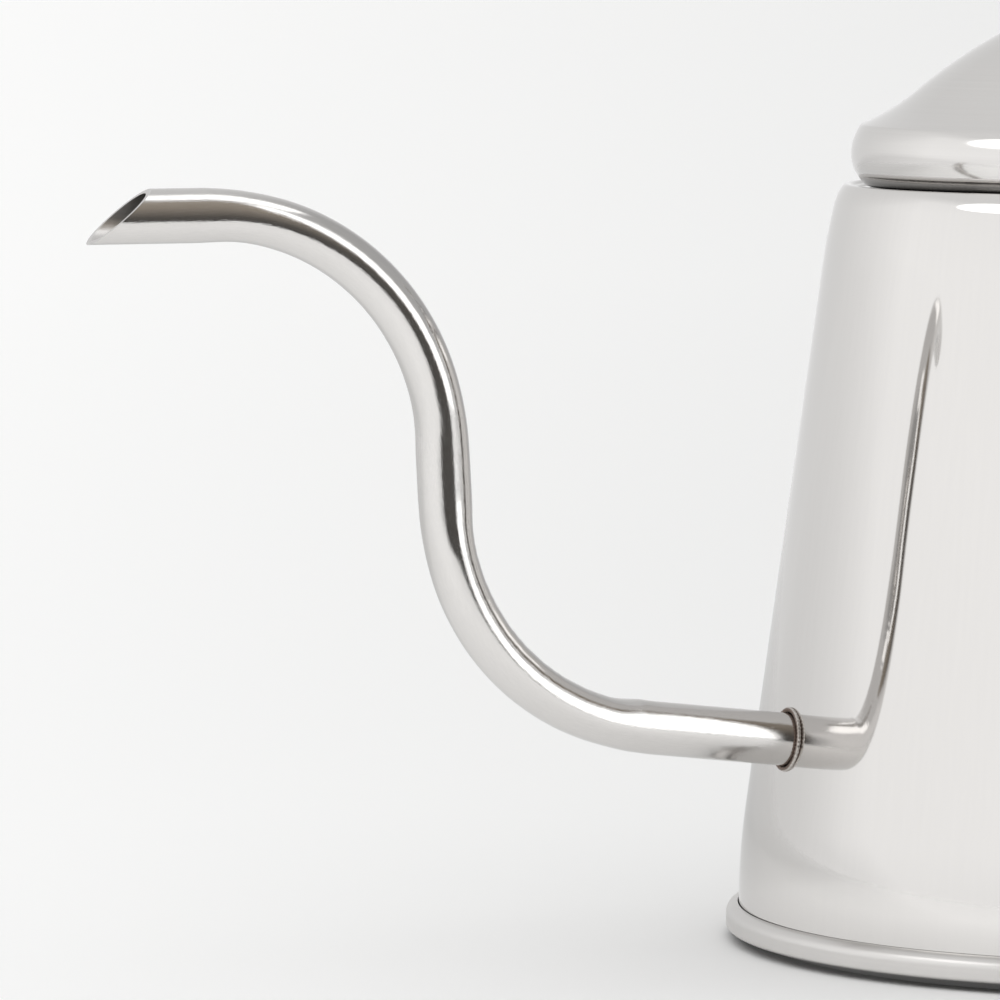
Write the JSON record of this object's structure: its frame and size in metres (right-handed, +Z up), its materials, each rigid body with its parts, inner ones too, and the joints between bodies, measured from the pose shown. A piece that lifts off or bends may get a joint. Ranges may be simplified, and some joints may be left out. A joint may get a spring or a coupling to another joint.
{
  "type": "gooseneck kettle",
  "caption": "Conical steel pour-over kettle with a slender bent tube spout, a strap handle, a rimmed base and a domed lift-off lid, for slow, steady pouring.",
  "frame": {"origin": "centre of the flat underside of the base, on the table", "axes": "+Z up along the axis of the body and lid, -X towards the spout, +X towards the handle, Y across"},
  "size_m": [0.2747, 0.13, 0.1677],
  "materials": {
    "polished_steel": "polished",
    "satin_steel": "satin",
    "weld_steel": "welded"
  },
  "bodies": {
    "kettle": {"base_pan": "polished_steel", "body_shell": "polished_steel", "spout_tube": "polished_steel", "spout_joint_bead": "weld_steel", "handle_outer_shell": "satin_steel", "handle_inner_shell": "satin_steel", "handle_upper_pad": "satin_steel", "handle_lower_pad": "satin_steel"},
    "lid": {"lid_cover": "polished_steel", "lid_collar": "satin_steel", "knob_ferrule": "polished_steel", "lid_knob": "polished_steel", "knob_washer": "satin_steel", "knob_screw": "satin_steel"}
  },
  "joints": [
    {"name": "lid_lift", "type": "slide", "parent": "kettle", "child": "lid", "axis": [0, 0, 1], "range_m": [0, 0.04]}
  ]
}
